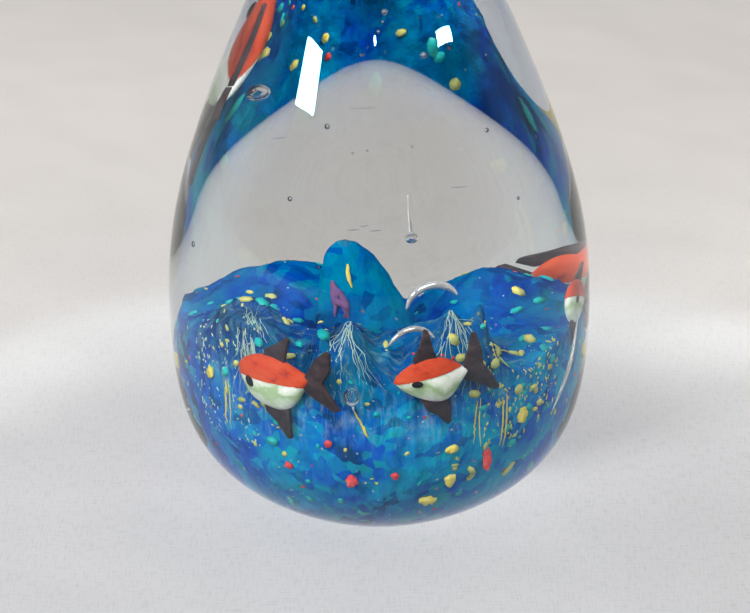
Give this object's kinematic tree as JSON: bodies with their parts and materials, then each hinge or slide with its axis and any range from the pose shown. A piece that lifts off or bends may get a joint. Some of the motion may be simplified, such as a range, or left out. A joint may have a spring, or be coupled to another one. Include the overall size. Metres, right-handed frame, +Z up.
{
  "type": "glass paperweight",
  "caption": "Teardrop clear glass paperweight with a flat ground base, holding a blue glass seabed, a tall rock and small lampworked fish.",
  "frame": {"origin": "centre of the flat ground base, on the surface that the paperweight stands on", "axes": "+Z up along the axis of the teardrop to its tip; -Y is the front, where two fish face -X; +X is to the right seen from the front"},
  "size_m": [0.08, 0.08, 0.143],
  "materials": {
    "clear_glass": "polished, with a few trapped bubbles",
    "blue_glass": "opaque crushed glass in cobalt, turquoise and teal, fused into a speckled, streaky skin",
    "teal_glass": "opaque, glossy, speckled with yellow",
    "orange_glass": "opaque, smooth lampworked",
    "pale_green_glass": "opaque, milky white to pale green, smooth lampworked",
    "black_glass": "opaque, smooth lampworked",
    "red_glass": "opaque crushed chip",
    "yellow_glass": "opaque chip and pulled thread"
  },
  "bodies": {
    "root": {"clear_casing": "clear_glass", "punty_stub": "clear_glass", "seabed": "blue_glass", "tall_rock": "teal_glass", "left_fish_back": "orange_glass", "left_fish_belly": "pale_green_glass", "left_fish_eye": "black_glass", "left_fish_dorsal_fin": "black_glass", "left_fish_tail_fin": "black_glass", "left_fish_belly_fin": "black_glass", "right_fish_back": "orange_glass", "right_fish_belly": "pale_green_glass", "right_fish_eye": "black_glass", "right_fish_dorsal_fin": "black_glass", "right_fish_tail_fin": "black_glass", "right_fish_belly_fin": "black_glass", "side_fish_back": "orange_glass", "side_fish_belly": "pale_green_glass", "side_fish_eye": "black_glass", "side_fish_dorsal_fin": "black_glass", "side_fish_tail_fin": "black_glass", "side_fish_belly_fin": "black_glass", "rear_right_fish_back": "orange_glass", "rear_right_fish_belly": "pale_green_glass", "rear_right_fish_eye": "black_glass", "rear_right_fish_dorsal_fin": "black_glass", "rear_right_fish_tail_fin": "black_glass", "rear_right_fish_belly_fin": "black_glass", "red_chip_1": "red_glass", "red_chip_2": "red_glass", "red_chip_3": "red_glass", "red_chip_4": "red_glass", "red_chip_5": "red_glass", "yellow_chip_1": "yellow_glass", "yellow_chip_2": "yellow_glass", "yellow_chip_3": "yellow_glass", "yellow_chip_4": "yellow_glass", "yellow_chip_5": "yellow_glass", "yellow_chip_6": "yellow_glass", "yellow_chip_7": "yellow_glass", "yellow_chip_8": "yellow_glass", "yellow_thread_1": "yellow_glass", "yellow_thread_2": "yellow_glass", "yellow_thread_3": "yellow_glass", "yellow_thread_4": "yellow_glass"}
  },
  "joints": []
}
